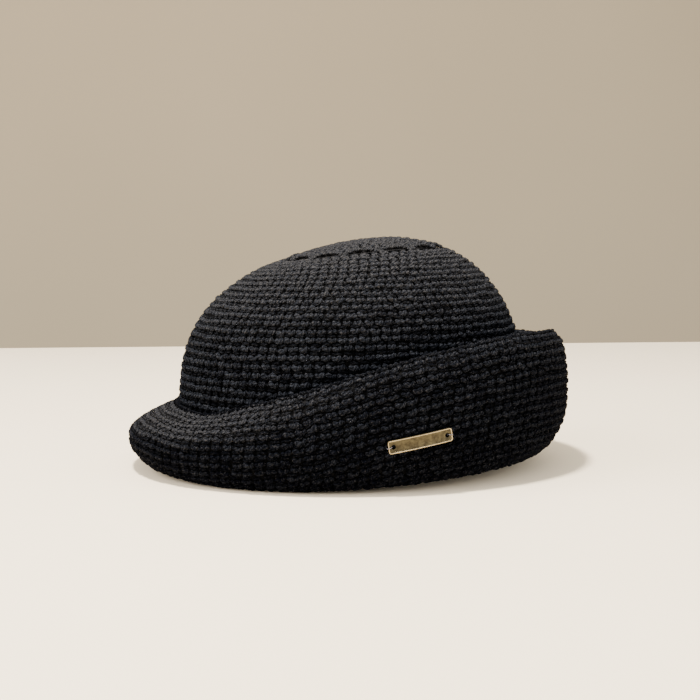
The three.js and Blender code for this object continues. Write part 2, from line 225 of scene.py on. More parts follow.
@dataclass(frozen=True)
class BrimShape:
    """The brim's outer face, by station and by distance down from its free edge.

    Each section gives its foot, its bulge and its edge, out from the crown's foot and up
    from the table, and how far the edge leans in.
    """

    crown: CrownShape
    sections: tuple[tuple[float, ...], ...] = (
        (0, 2.5, 6, 28, 40, 19.5, 76.5, 36),
        (30, 3, 6.1, 26.5, 40, 20, 78.4, 32),
        (60, 4, 5.4, 23, 37, 17, 75.5, 30),
        (90, 5, 2.8, 20.5, 31, 14, 65, 32),
        (115, 7, 0.8, 21, 26, 10, 51.6, 40),
        (135, 9.5, 0.3, 23.6, 22, 5.5, 43, 52),
        (150, 11.5, 0.9, 27.3, 20.8, 4.2, 37.8, 60),
        (165, 13.5, 2, 29.9, 19.8, 3.7, 38, 63),
        (180, 14, 4.3, 30.7, 19, 3.6, 38.6, 63),
    )
    edge_sway: float = 7.5
    fold_radius: float = 3.2
    handle_share: float = 0.45
    step: float = 0.5
    reach: float = 125.0

    def column(self, index: int, station: Array) -> Array:
        """One column of the sections at any station, the same on both sides."""
        table = np.array(self.sections, float)
        knots = np.concatenate([[-table[1, 0]], table[:, 0], [360 - table[-2, 0]]])
        values = np.concatenate([[table[1, index]], table[:, index], [table[-2, index]]])
        slopes = (values[2:] - values[:-2]) / (knots[2:] - knots[:-2])
        angle = np.abs((station + 180) % 360 - 180)
        i = np.clip(np.searchsorted(table[:, 0], angle, side="right") - 1, 0, len(table) - 2)
        span = table[i + 1, 0] - table[i, 0]
        t = (angle - table[i, 0]) / span
        return hermite(table[i, index], table[i + 1, index], slopes[i] * span, slopes[i + 1] * span, t)

    def section(self, station: Array) -> tuple[Array, Array]:
        """The outer face's run from the edge down round the fold to the head opening.

        Args:
            station: Stations, as a list.

        Returns:
            Out and height at each point of the run, one run for each station.
        """
        foot_out, foot_z, bulge_out, bulge_z, edge_out, edge_z, lean = (
            self.column(k, station)[:, None] for k in range(1, 8)
        )
        turn = np.radians(station)[:, None]
        foot_z = np.maximum(foot_z, 0)
        edge_z = edge_z - self.edge_sway * np.sin(turn) * (1 + np.cos(turn)) / 2
        top = CROWN_FOOT - GAP
        fold = np.minimum(self.fold_radius, top - foot_z - 0.2)
        corner = np.radians(np.linspace(0, 90, 7))[None, :]
        out = [-WALL + 0 * foot_z, -WALL + fold * (1 - np.cos(corner))]
        z = [top + 0 * foot_z, foot_z + fold * (1 - np.sin(corner))]
        sweep = np.radians(np.linspace(0, 90, 16))[None, :]
        out.append(foot_out + (bulge_out - foot_out) * np.sin(sweep))
        z.append(bulge_z - (bulge_z - foot_z) * np.cos(sweep))
        t = np.linspace(0, 1, 22)[None, 1:]
        pull = np.hypot(edge_out - bulge_out, edge_z - bulge_z) / 3
        tilt = np.radians(lean)
        handles = (
            (bulge_out, bulge_z),
            (bulge_out, bulge_z + np.minimum(pull, (edge_z - bulge_z) * self.handle_share)),
            (edge_out + pull * np.sin(tilt), edge_z - pull * np.cos(tilt)),
            (edge_out, edge_z),
        )
        weights = ((1 - t) ** 3, 3 * (1 - t) ** 2 * t, 3 * (1 - t) * t * t, t**3)
        out.append(sum(w * h[0] for w, h in zip(weights, handles)))
        z.append(sum(w * h[1] for w, h in zip(weights, handles)))
        return np.concatenate(out, axis=1)[:, ::-1], np.concatenate(z, axis=1)[:, ::-1]

    def chart(self) -> tuple[Array, Array]:
        """The whole face as a grid of points, with the length of each run."""
        stations = np.arange(0, 361, 1.0)
        out, z = self.section(stations)
        steps = np.hypot(np.diff(out), np.diff(z))
        run = np.concatenate([np.zeros((len(stations), 1)), np.cumsum(steps, axis=1)], axis=1)
        downs = np.arange(0, self.reach, self.step)
        outs = np.stack([np.interp(downs, r, o) for r, o in zip(run, out)])
        zs = np.stack([np.interp(downs, r, h) + np.maximum(downs - r[-1], 0) for r, h in zip(run, z)])
        foot = self.crown.point(self.crown.last, stations)
        _, _, normal = self.crown.axes(self.crown.last, stations)
        normal[:, 2] = 0
        points = foot[:, None, :] + unit(normal)[:, None, :] * outs[:, :, None]
        points[:, :, 2] = zs
        return points, run[:, -1]


class BrimFace:
    """Reads the brim's outer face at any station and distance from the edge."""

    def __init__(self, shape: BrimShape) -> None:
        """Charts the face once."""
        self.shape = shape
        self.points, self.length = shape.chart()

    def point(self, down: Array, station: Array) -> Array:
        """Points of the outer face, in millimetres.

        Args:
            down: Distances from the free edge, along the face.
            station: Degrees round the hat from the back.

        Returns:
            Points in the hat's frame.
        """
        down, station = np.broadcast_arrays(np.asarray(down, float), np.asarray(station, float) % 360)
        col = np.clip(down / self.shape.step, 0, self.points.shape[1] - 1.001)
        i, j = np.floor(station).astype(int), np.floor(col).astype(int)
        u, v = (station - i)[..., None], (col - j)[..., None]
        low = self.points[i, j] * (1 - v) + self.points[i, j + 1] * v
        high = self.points[i + 1, j] * (1 - v) + self.points[i + 1, j + 1] * v
        return low * (1 - u) + high * u

    def axes(self, down: Array, station: Array) -> tuple[Array, Array, Array]:
        """Unit directions along the round, up to the edge and out of the face."""
        down, station = np.maximum(np.asarray(down, float), 1.0), np.asarray(station)
        return directions(
            self.point(down - 1, station) - self.point(down + 1, station),
            self.point(down, station + 1) - self.point(down, station - 1),
        )

    def run(self, station: Array) -> Array:
        """Length of the face at a station, from the edge to the head opening."""
        return np.interp(np.asarray(station) % 360, np.arange(0, 361), self.length)

    def even_stations(self, down: float, count: int, shift: float) -> Array:
        """Stations that share a round out evenly, shifted by a part of a stitch."""
        ring = self.point(down, FINE_ANGLES)
        ring[-1] = ring[0]
        return shared_out(ring, count, shift)


# Working by hand in Blender


def clear_selection() -> None:
    """Leaves nothing selected, the frame's own nodes included."""
    if bpy.context.object and bpy.context.object.mode != "OBJECT":
        bpy.ops.object.mode_set(mode="OBJECT")
    bpy.ops.object.select_all(action="DESELECT")


def choose(obj: bpy.types.Object) -> None:
    """Makes one object the only one selected, and the active one."""
    clear_selection()
    obj.select_set(True)
    bpy.context.view_layer.objects.active = obj


def pick(obj: bpy.types.Object, kind: Part, test: Callable[[bpy.types.bpy_struct], bool]) -> None:
    """Enters edit mode with only the parts that pass a test selected.

    Args:
        obj: The object to edit.
        kind: The kind of part to pick.
        test: Whether one part is picked.
    """
    choose(obj)
    bpy.ops.object.mode_set(mode="EDIT")
    bpy.ops.mesh.select_mode(type=kind.name)
    bpy.ops.mesh.select_all(action="DESELECT")
    bpy.ops.object.mode_set(mode="OBJECT")
    for part in getattr(obj.data, kind.value):
        part.select = test(part)
    bpy.ops.object.mode_set(mode="EDIT")


def apply_place(obj: bpy.types.Object) -> None:
    """Moves the object's place, turn and scale into its mesh."""
    choose(obj)
    bpy.ops.object.transform_apply(location=True, rotation=True, scale=True)


def finish_modifiers(obj: bpy.types.Object) -> None:
    """Applies every modifier in order."""
    choose(obj)
    for modifier in list(obj.modifiers):
        bpy.ops.object.modifier_apply(modifier=modifier.name)


def cut_out(obj: bpy.types.Object, cutter: bpy.types.Object) -> None:
    """Cuts another object's shape out of one, and removes the cutter."""
    cut = obj.modifiers.new("cut", "BOOLEAN")
    cut.operation, cut.object, cut.solver = "DIFFERENCE", cutter, "EXACT"
    finish_modifiers(obj)
    bpy.data.objects.remove(cutter, do_unlink=True)


def new_mesh(name: str, points: Array, faces: Array, uvs: Array | None = None) -> bpy.types.Object:
    """Makes a mesh object from arrays, with faces of one size.

    Args:
        name: The object's name.
        points: Vertices in millimetres.
        faces: Corner indices, one face a row.
        uvs: Optional map, one pair for each corner.

    Returns:
        The new object, smooth shaded, with its place in its mesh.
    """
    mesh = bpy.data.meshes.new(name)
    mesh.vertices.add(len(points))
    mesh.vertices.foreach_set("co", np.asarray(points * MM, np.float32).ravel())
    size = faces.shape[1]
    mesh.loops.add(faces.size)
    mesh.loops.foreach_set("vertex_index", faces.astype(np.int32).ravel())
    mesh.polygons.add(len(faces))
    mesh.polygons.foreach_set("loop_start", np.arange(0, faces.size, size, dtype=np.int32))
    mesh.polygons.foreach_set("use_smooth", np.ones(len(faces), bool))
    if uvs is not None:
        layer = mesh.uv_layers.new(name="UVMap")
        layer.data.foreach_set("uv", np.asarray(uvs, np.float32).ravel())
    mesh.update(calc_edges=True)
    mesh.validate()
    obj = bpy.data.objects.new(name, mesh)
    bpy.context.scene.collection.objects.link(obj)
    return obj


# Yarn strands and stitches


@dataclass(frozen=True)
class Strand:
    """One plump length of yarn, from a start to an end, in a stitch's own space.

    The stitch lies in x (along the round) and y (the way it grows); z is out of the cloth.
    """

    start: tuple[float, float, float]
    end: tuple[float, float, float]
    radius: float
    rise: float = 0.3
    flat: float = 0.82
    plump: float = 1.3
    sides: int = 6
    rings: int = 5

    def model(self, name: str) -> bpy.types.Object:
        """Models the strand from a sphere, drawn out, filled out at its ends and bowed outwards.

        Args:
            name: The object's name.

        Returns:
            The strand, its place in its mesh, in millimetres.
        """
        start, end = Vector(self.start), Vector(self.end)
        length = (end - start).length
        bpy.ops.mesh.primitive_uv_sphere_add(segments=self.sides, ring_count=self.rings, radius=1, calc_uvs=True)
        strand = bpy.context.object
        strand.name = name
        strand.scale = (self.radius * self.flat, self.radius, length / 2)
        apply_place(strand)
        for sign in (-1, 1):
            pick(strand, Part.VERT, lambda v: v.co.z * sign >= 0.38 * length)
            bpy.ops.transform.resize(value=(self.plump, self.plump, 1))
        for reach, share in ((0.45, 0.45), (0.3, 0.55)):
            pick(strand, Part.VERT, lambda v: abs(v.co.z) <= reach * length)
            bpy.ops.transform.translate(value=(self.rise * share, 0, 0))
        bpy.ops.object.mode_set(mode="OBJECT")
        drawn = (end - start).normalized()
        out = (Vector((0, 0, 1)) - drawn * drawn.z).normalized()
        basis = Matrix((out, drawn.cross(out), drawn)).transposed().to_4x4()
        strand.data.transform(Matrix.Translation((start + end) / 2) @ basis)
        return strand


@dataclass(frozen=True)
class Template:
    """A stitch ready to copy: its points, its triangles and its map."""

    points: Array
    faces: Array
    uvs: Array

    @classmethod
    def model(cls, name: str, strands: list["Strand"]) -> "Template":
        """Models the strands, joins them and reads them as triangles.

        Args:
            name: A name for the stitch while it is made.
            strands: The strands of one stitch.

        Returns:
            The template; the objects themselves are gone.
        """
        parts = [strand.model(f"{name}_{k}") for k, strand in enumerate(strands)]
        clear_selection()
        for part in parts:
            part.select_set(True)
        bpy.context.view_layer.objects.active = parts[0]
        bpy.ops.object.join()
        stitch = bpy.context.object
        bpy.ops.object.mode_set(mode="EDIT")
        bpy.ops.mesh.select_all(action="SELECT")
        bpy.ops.mesh.quads_convert_to_tris()
        bpy.ops.mesh.normals_make_consistent(inside=False)
        bpy.ops.object.mode_set(mode="OBJECT")
        mesh = stitch.data
        points = np.empty(len(mesh.vertices) * 3)
        mesh.vertices.foreach_get("co", points)
        corners = np.empty(len(mesh.loops), int)
        mesh.loops.foreach_get("vertex_index", corners)
        uvs = np.empty(len(mesh.loops) * 2)
        mesh.uv_layers[0].data.foreach_get("uv", uvs)
        bpy.data.objects.remove(stitch, do_unlink=True)
        return cls(points.reshape(-1, 3), *cls.in_order(corners.reshape(-1, 3), uvs.reshape(-1, 3, 2)))

    @staticmethod
    def in_order(faces: Array, uvs: Array) -> tuple[Array, Array]:
        """Puts triangles in one fixed order, whatever order Blender leaves them in.

        Args:
            faces: Corner indices, one triangle a row.
            uvs: The map at each corner.

        Returns:
            The triangles, and the map as one pair for each corner.
        """
        turn = (faces.argmin(axis=1)[:, None] + np.arange(3)) % 3
        faces = np.take_along_axis(faces, turn, axis=1)
        uvs = np.take_along_axis(uvs, turn[:, :, None], axis=1)
        order = np.lexsort(faces.T[::-1])
        return faces[order], uvs[order].reshape(-1, 2)

    @property
    def proud(self) -> Array:
        """How far each point stands out of the row's grooves, from 0 deep in them to 1 on the ridge."""
        # the yarn's painted shade follows this: dark deep in the grooves and on the loops far from the row's middle
        height = np.clip((self.points[:, 2] + 1.2) / 1.5, 0, 1) ** 0.7
        return height * (0.2 + 0.8 * np.clip((2.3 - np.abs(self.points[:, 1])) / 0.8, 0, 1))


@dataclass(frozen=True)
class Spots:
    """Where stitches go: a place and three directions for each, scaled to the room there."""

    place: Array
    along: Array
    grow: Array
    out: Array

    @classmethod
    def gather(cls, groups: list["Spots"]) -> "Spots":
        """Joins several groups into one."""
        names = ("place", "along", "grow", "out")
        return cls(*(np.concatenate([getattr(g, n) for g in groups]) for n in names))

    def only(self, keep: Array) -> "Spots":
        """The spots where keep is true."""
        return Spots(self.place[keep], self.along[keep], self.grow[keep], self.out[keep])

    def jittered(self, rng: np.random.Generator, slide: float, turn: float, swell: float) -> "Spots":
        """Handmade unevenness.

        Args:
            rng: The seeded source of chance.
            slide: Spread of the places, in millimetres.
            turn: Spread of the turns in the cloth, in degrees.
            swell: Spread of the sizes, as a share.

        Returns:
            Uneven spots.
        """
        n = len(self.place)
        push = rng.normal(0, 1, (n, 3)) * slide
        place = self.place + unit(self.along) * push[:, :1] + unit(self.grow) * push[:, 1:2]
        place = place + self.out * push[:, 2:] * 0.4
        angle = np.radians(rng.normal(0, turn, n))[:, None]
        size = 1 + rng.normal(0, swell, (n, 3))
        along = (self.along * np.cos(angle) + self.grow * np.sin(angle)) * size[:, :1]
        grow = (self.grow * np.cos(angle) - self.along * np.sin(angle)) * size[:, 1:2]
        return Spots(place, along, grow, self.out * size[:, 2:])


def copy_stitches(
    name: str,
    looks: list[Template],
    spots: Spots,
    rng: np.random.Generator,
    tones: tuple[float, float],
    worn: float = 1.0,
    shade: float = 1.0,
    rise: float = 0.0,
) -> bpy.types.Object:
    """Copies a stitch to every spot, each copy with its own look, tone and twist.

    Strands that would pass through the table are pressed flat on it.

    Args:
        name: The piece's name.
        looks: The stitch in its different looks, of which each spot gets one.
        spots: Where the copies go.
        rng: The seeded source of chance.
        tones: The darkest and the lightest tone of a copy, from 0 to 1.
        worn: How strongly what faces up is painted lighter, as lint and painted sheen.
        shade: How much darker the grooves are painted than the ridges, as painted shade.
        rise: How much lighter a copy is painted high above the table than on it, as painted light from above.

    Returns:
        One mesh object that holds all the copies.
    """
    choice = rng.integers(0, len(looks), len(spots.place))
    points, faces, uvs = [], [], []
    layers = {"tone": [], "proud": [], "upward": []}
    total = 0
    for index, look in enumerate(looks):
        here = spots.only(choice == index)
        n, t = len(here.place), look.points
        cloud = (
            here.place[:, None, :]
            + t[None, :, :1] * here.along[:, None, :]
            + t[None, :, 1:2] * here.grow[:, None, :]
            + t[None, :, 2:] * here.out[:, None, :]
        )
        points.append(cloud.reshape(-1, 3))
        faces.append((look.faces[None] + total + (np.arange(n) * len(t))[:, None, None]).reshape(-1, 3))
        uvs.append((look.uvs[None] + rng.random((n, 1, 2)) * np.array([1.0, 0.0])).reshape(-1, 2))
        # each copy's tone is random, plus painted light that grows with its height above the table
        tone = rng.uniform(*tones, n) + rise * np.clip(here.place[:, 2] / PAINTED_LIGHT_HEIGHT, 0, 1)
        layers["tone"].append(np.repeat(tone, len(t)))
        # painted shade in the grooves, by how far each point stands out
        layers["proud"].append(np.tile(1 - shade * (1 - look.proud), n))
        # what faces up is painted lighter, as lint and painted sheen
        layers["upward"].append(np.repeat(np.clip(unit(here.out)[:, 2], 0, 1) * worn, len(t)))
        total += n * len(t)
    cloud = np.concatenate(points)
    height = cloud[:, 2]
    pressed = np.maximum(PRESS_LIFT + height * PRESS_SHARE, TABLE_CLEAR)
    cloud[:, 2] = np.where(height < PRESS_BELOW, pressed, height)
    piece = new_mesh(name, cloud, np.concatenate(faces), np.concatenate(uvs))
    for title, values in layers.items():
        layer = piece.data.attributes.new(title, "FLOAT", "POINT")
        layer.data.foreach_set("value", np.concatenate(values).astype(np.float32))
    return piece


# Finishes


class Nodes:
    """Adds nodes to a tree from left to right and links them."""

    def __init__(self, tree: bpy.types.NodeTree) -> None:
        """Works on the given tree."""
        self.tree = tree
        self.count = 0

    def add(self, kind: str, **values: object) -> bpy.types.Node:
        """Adds a node.

        Args:
            kind: The node's type name.
            **values: Its properties; a name that starts with in_ and a number sets that input.

        Returns:
            The node.
        """
        node = self.tree.nodes.new(kind)
        node.location = (self.count * 180, 0)
        self.count += 1
        for key, value in values.items():
            if key.startswith("in_"):
                node.inputs[int(key[3:])].default_value = value
            else:
                setattr(node, key, value)
        return node

    def link(self, a: bpy.types.NodeSocket, b: bpy.types.NodeSocket) -> None:
        """Links an output to an input."""
        self.tree.links.new(a, b)

    def feed(self, slot: bpy.types.NodeSocket, value: Value | Colour) -> None:
        """Gives an input its value, a socket or a constant."""
        if isinstance(value, bpy.types.NodeSocket):
            self.link(value, slot)
        else:
            slot.default_value = value

    def maths(self, operation: str, a: Value, b: Value = 0.0, clamp: bool = False) -> bpy.types.NodeSocket:
        """A sum of two values, each a socket or a number.

        Args:
            operation: The operation's name.
            a: The first value.
            b: The second value.
            clamp: Whether the result stays between 0 and 1.

        Returns:
            The result's socket.
        """
        node = self.add("ShaderNodeMath", operation=operation, use_clamp=clamp)
        for slot, value in zip(node.inputs, (a, b)):
            self.feed(slot, value)
        return node.outputs[0]

    def line(self, value: Value, slope: Value, base: Value, clamp: bool = False) -> bpy.types.NodeSocket:
        """A value times a slope, plus a base."""
        return self.maths("ADD", self.maths("MULTIPLY", value, slope), base, clamp)

    def above(self, value: Value, floor: float, gain: float, clamp: bool = True) -> bpy.types.NodeSocket:
        """How far a value is above a floor, times a gain."""
        return self.maths("MULTIPLY", self.maths("SUBTRACT", value, floor, clamp=True), gain, clamp)

    def blend(self, share: Value, a: Value | Colour, b: Value | Colour) -> bpy.types.NodeSocket:
        """A colour between two, each a socket or a colour."""
        node = self.add("ShaderNodeMix", data_type="RGBA")
        for index, value in ((0, share), (6, a), (7, b)):
            self.feed(node.inputs[index], value)
        return node.outputs[2]

    def noise(self, place: Value, scale: float, detail: float, rough: float = 0.5) -> bpy.types.NodeSocket:
        """Noise over a place, by its scale, its detail and that detail's roughness."""
        node = self.add("ShaderNodeTexNoise", in_2=scale, in_3=detail, in_4=rough)
        self.link(place, node.inputs[0])
        return node.outputs[0]

    def layer(self, title: str) -> bpy.types.NodeSocket:
        """A value that the mesh carries at its points."""
        return self.add("ShaderNodeAttribute", attribute_name=title).outputs["Fac"]

    def map(self) -> bpy.types.NodeSocket:
        """The mesh's own map."""
        return self.add("ShaderNodeUVMap", uv_map="UVMap").outputs[0]

    def twist(self, plies: bpy.types.NodeTree, place: Value, turns: float, fibre: float) -> bpy.types.Node:
        """Places the shared twist of the plies, with its own turns and fibres."""
        spun = self.add("ShaderNodeGroup", node_tree=plies)
        spun.inputs["Turns"].default_value = turns
        spun.inputs["Fibre"].default_value = fibre
        self.link(self.map(), spun.inputs["Map"])
        self.link(place, spun.inputs["Place"])
        return spun

    def bump(self, height: Value, distance: float, surface: bpy.types.Node, strength: float = 1.0) -> None:
        """Gives a shader the bumps of a height."""
        node = self.add("ShaderNodeBump")
        node.inputs["Strength"].default_value = strength
        node.inputs["Distance"].default_value = distance
        self.link(height, node.inputs["Height"])
        self.link(node.outputs[0], surface.inputs["Normal"])


def new_material(name: str) -> tuple[bpy.types.Material, Nodes, bpy.types.Node]:
    """Makes a material, and gives it, its tree and its shader."""
    material = bpy.data.materials.new(name)
    material.use_nodes = True
    return material, Nodes(material.node_tree), material.node_tree.nodes["Principled BSDF"]


def group_sockets(tree: bpy.types.NodeTree, inputs: dict[str, tuple[str, object]], outputs: dict[str, str]) -> None:
    """Names a group's inputs, each with its kind and first value, and its outputs."""
    for name, (kind, value) in inputs.items():
        socket = tree.interface.new_socket(name, in_out="INPUT", socket_type=kind)
        if value is not None:
            socket.default_value = value
    for name, kind in outputs.items():
        tree.interface.new_socket(name, in_out="OUTPUT", socket_type=kind)


def ply_group() -> bpy.types.NodeTree:
    """Builds the twist of a yarn's plies: ridges that wind round each strand, with fibres."""
    tree = bpy.data.node_groups.new("yarn_plies", "ShaderNodeTree")
    group_sockets(
        tree,
        {
            "Map": ("NodeSocketVector", None),
            "Place": ("NodeSocketVector", None),
            "Plies": ("NodeSocketFloat", 3.0),
            "Turns": ("NodeSocketFloat", 2.4),
            "Fibre": ("NodeSocketFloat", 0.9),
        },
        {"Height": "NodeSocketFloat", "Crest": "NodeSocketFloat"},
    )
    n = Nodes(tree)
    start, end = n.add("NodeGroupInput"), n.add("NodeGroupOutput")
    split = n.add("ShaderNodeSeparateXYZ")
    n.link(start.outputs["Map"], split.inputs[0])
    around = n.maths("MULTIPLY", split.outputs[0], start.outputs["Plies"])
    turns = n.line(split.outputs[1], start.outputs["Turns"], around)
    angle = n.maths("MULTIPLY", turns, 2 * math.pi)
    crest = n.maths("POWER", n.line(n.maths("SINE", angle), 0.5, 0.5), 0.6)
    fibre = n.noise(start.outputs["Place"], 2600.0, 2.0)
    n.link(n.line(fibre, start.outputs["Fibre"], crest), end.inputs["Height"])
    # the crest also serves the finishes as a mask for painted highlights on the ply crests and painted shade between
    # them
    n.link(crest, end.inputs["Crest"])
    return tree


@dataclass(frozen=True)
class YarnFinish:
    """Soft spun yarn, near black, a little uneven from stitch to stitch, with painted shade deep in its grooves.

    What faces up is painted lighter, as lint and painted sheen, and the plies' crests carry painted highlights.
    """

    name: str = "yarn"
    dark: Colour = (0.0015, 0.0019, 0.0042, 1)
    light: Colour = (0.0180, 0.0202, 0.0264, 1)
    # painted sheen, with some lint, that lightens what faces up
    lint_and_sheen: Colour = (0.0445, 0.0425, 0.0425, 1)
    # painted shade deep in the grooves and on the loops between the rows
    groove: Colour = (0.0003, 0.0003, 0.0005, 1)
    tint: Colour = (0.75, 0.82, 1.0, 1)
    turns: float = 2.4
    fibre: float = 0.9
    patches: float = 0.6
    # how much lighter what faces up is painted, as painted light from above
    top_light: float = 0.8
    grain_floor: float = 0.26
    grain_gain: float = 3.95
    roughness: float = 0.75
    specular: float = 0.01
    relief: float = 0.0008

    def build(self, plies: bpy.types.NodeTree) -> bpy.types.Material:
        """Builds the material.

        Args:
            plies: The shared twist of the plies.

        Returns:
            The yarn's material, which reads the attributes tone, proud and upward.
        """
        material, n, surface = new_material(self.name)
        place = n.add("ShaderNodeTexCoord").outputs["Object"]
        spun = n.twist(plies, place, self.turns, self.fibre)
        patch = n.maths("MULTIPLY", n.maths("SUBTRACT", n.noise(place, 45.0, 3.0), 0.5), self.patches)
        mixed = n.maths("ADD", n.layer("tone"), patch)
        # what faces up is painted lighter, as painted light from above, and specked with lint and painted sheen
        upward = n.layer("upward")
        facing_up = n.maths("POWER", upward, 1.7)
        raised = n.line(facing_up, self.top_light, mixed, clamp=True)
        body = n.blend(raised, self.dark, self.light)
        # specks of lint and painted sheen, most on what faces up
        speck = n.noise(place, 1150.0, 3.0, 0.6)
        sheen_gain = n.line(facing_up, 2.5, 2.6)
        reach = n.line(upward, 0.17, -0.53)
        sheen_flecks = n.maths("MULTIPLY", n.maths("ADD", speck, reach, clamp=True), sheen_gain, clamp=True)
        body_with_sheen = n.blend(sheen_flecks, body, self.lint_and_sheen)
        # painted highlights on the ridges and ply crests, broken by the fibres' grain; painted shade in the grooves,
        # by the proud attribute
        crest = n.maths("MULTIPLY", n.layer("proud"), n.line(spun.outputs["Crest"], 0.7, 0.3))
        grain = n.above(speck, self.grain_floor, self.grain_gain, clamp=False)
        lit = n.line(crest, grain, n.maths("MULTIPLY", facing_up, 0.5), clamp=True)
        # the painted shade colour fills whatever the lit mask leaves dark
        n.link(n.blend(lit, self.groove, body_with_sheen), surface.inputs["Base Color"])
        n.bump(spun.outputs["Height"], self.relief, surface)
        surface.inputs["Roughness"].default_value = self.roughness
        surface.inputs["Specular Tint"].default_value = self.tint
        surface.inputs["Specular IOR Level"].default_value = self.specular
        return material


@dataclass(frozen=True)
class ClothFinish:
    """The fabric behind the stitches and on its inside, with the stitches as relief, painted far darker than the yarn
    as painted shade between the stitches.
    """

    name: str = "yarn_ground"
    # painted shade: far darker than the yarn, and darkest in the pattern's hollows
    dark: Colour = (0.0004, 0.0004, 0.0005, 1)
    light: Colour = (0.0035, 0.0036, 0.0042, 1)
    # painted sheen, with some lint, on what faces up
    lint_and_sheen: Colour = (0.020, 0.019, 0.0195, 1)
    slant: float = 0.22
    roughness: float = 0.85
    specular: float = 0.02
    relief: float = 0.0014

    def build(self) -> bpy.types.Material:
        """Builds the material; its map counts stitches along and rounds across."""
        material, n, surface = new_material(self.name)
        split = n.add("ShaderNodeSeparateXYZ")
        n.link(n.map(), split.inputs[0])
        across = n.maths("FRACT", split.outputs[1])
        slanted = n.line(across, self.slant, split.outputs[0])
        ridge = n.maths("SINE", n.maths("MULTIPLY", across, math.pi))
        legs = n.maths("ABSOLUTE", n.maths("SINE", n.maths("MULTIPLY", slanted, 2 * math.pi)))
        height = n.maths("MULTIPLY", n.maths("POWER", ridge, 0.5), n.line(legs, 0.6, 0.4))
        place = n.add("ShaderNodeTexCoord")
        facing = n.add("ShaderNodeSeparateXYZ")
        n.link(place.outputs["Normal"], facing.inputs[0])
        # what faces up is painted lighter, as lint and painted sheen
        top_sheen_share = n.above(facing.outputs[2], 0.3, 1.2)
        # the pattern's hollows are painted darker, as painted shade
        fabric = n.blend(height, self.dark, self.light)
        n.link(n.blend(top_sheen_share, fabric, self.lint_and_sheen), surface.inputs["Base Color"])
        n.bump(n.line(n.noise(place.outputs["Object"], 1800.0, 2.0), 0.15, height), self.relief, surface)
        surface.inputs["Roughness"].default_value = self.roughness
        surface.inputs["Specular IOR Level"].default_value = self.specular
        return material


@dataclass(frozen=True)
class BrassFinish:
    """Aged brass: a dull brown face, rubbed bright along its rim."""

    name: str = "aged_brass"
    face: Colour = (0.082, 0.071, 0.042, 1)
    shade: Colour = (0.034, 0.028, 0.017, 1)
    rubbed: Colour = (0.37, 0.30, 0.18, 1)
    relief: float = 0.00012

    def build(self) -> bpy.types.Material:
        """Builds the material; the attribute rubbed is 1 on worn edges."""
        material, n, surface = new_material(self.name)
        place = n.add("ShaderNodeTexCoord").outputs["Object"]
        stain = n.noise(place, 420.0, 5.0, 0.6)
        ground = n.blend(n.above(stain, 0.38, 3.2), self.shade, self.face)
        share = n.maths("MULTIPLY", n.layer("rubbed"), n.maths("ADD", stain, 0.45), clamp=True)
        n.link(n.blend(share, ground, self.rubbed), surface.inputs["Base Color"])
        fine = n.noise(place, 1900.0, 3.0)
        n.link(n.line(fine, 0.25, 0.28), surface.inputs["Roughness"])
        n.bump(n.line(stain, 1.5, fine), self.relief, surface, strength=0.6)
        surface.inputs["Metallic"].default_value = 1.0
        return material


@dataclass(frozen=True)
class ThreadFinish:
    """Fine sewing line, dark grey and glossy, with a faint twist."""

    name: str = "sewing_line"
    low: Colour = (0.05, 0.047, 0.06, 1)
    high: Colour = (0.14, 0.13, 0.155, 1)
    roughness: float = 0.28

    def build(self, plies: bpy.types.NodeTree) -> bpy.types.Material:
        """Builds the material round the shared twist of the plies."""
        material, n, surface = new_material(self.name)
        spun = n.twist(plies, n.add("ShaderNodeTexCoord").outputs["Object"], 14.0, 0.1)
        # the ply crests are painted lighter, as painted highlights along the twist, with painted shade between them
        n.link(n.blend(spun.outputs["Crest"], self.low, self.high), surface.inputs["Base Color"])
        surface.inputs["Roughness"].default_value = self.roughness
        return material


@dataclass(frozen=True)
class MottledFinish:
    """A plain surface with the faintest mottle between two near colours."""

    name: str
    low: Colour
    high: Colour
    scale: float
    roughness: float

    def build(self) -> bpy.types.Material:
        """Builds the material."""
        material, n, surface = new_material(self.name)
        mottle = n.noise(n.add("ShaderNodeTexCoord").outputs["Object"], self.scale, 2.0)
        n.link(n.blend(mottle, self.low, self.high), surface.inputs["Base Color"])
        surface.inputs["Roughness"].default_value = self.roughness
        return material


TABLE = MottledFinish("pale_table", (0.92, 0.78, 0.58, 1), (0.95, 0.815, 0.62, 1), 6.0, 0.55)
BACKDROP = MottledFinish("plain_wall", (0.246, 0.198, 0.127, 1), (0.283, 0.229, 0.151, 1), 1.5, 0.9)


def dress(piece: bpy.types.Object, material: bpy.types.Material, node: str) -> None:
    """Gives a piece its only material, its body and the node that it stands for."""
    piece.data.materials.clear()
    piece.data.materials.append(material)
    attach(piece, "root")
    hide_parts(node)


# The hat's cloth


def wander(chance: np.random.Generator, stations: Array, size: float) -> Array:
    """How far a round strays from its line, as slow waves round the hat."""
    waves = [(int(chance.integers(3, 17)), chance.random() * 6.28) for _ in range(4)]
    return size * sum(np.sin(np.radians(stations) * turns + start) for turns, start in waves)


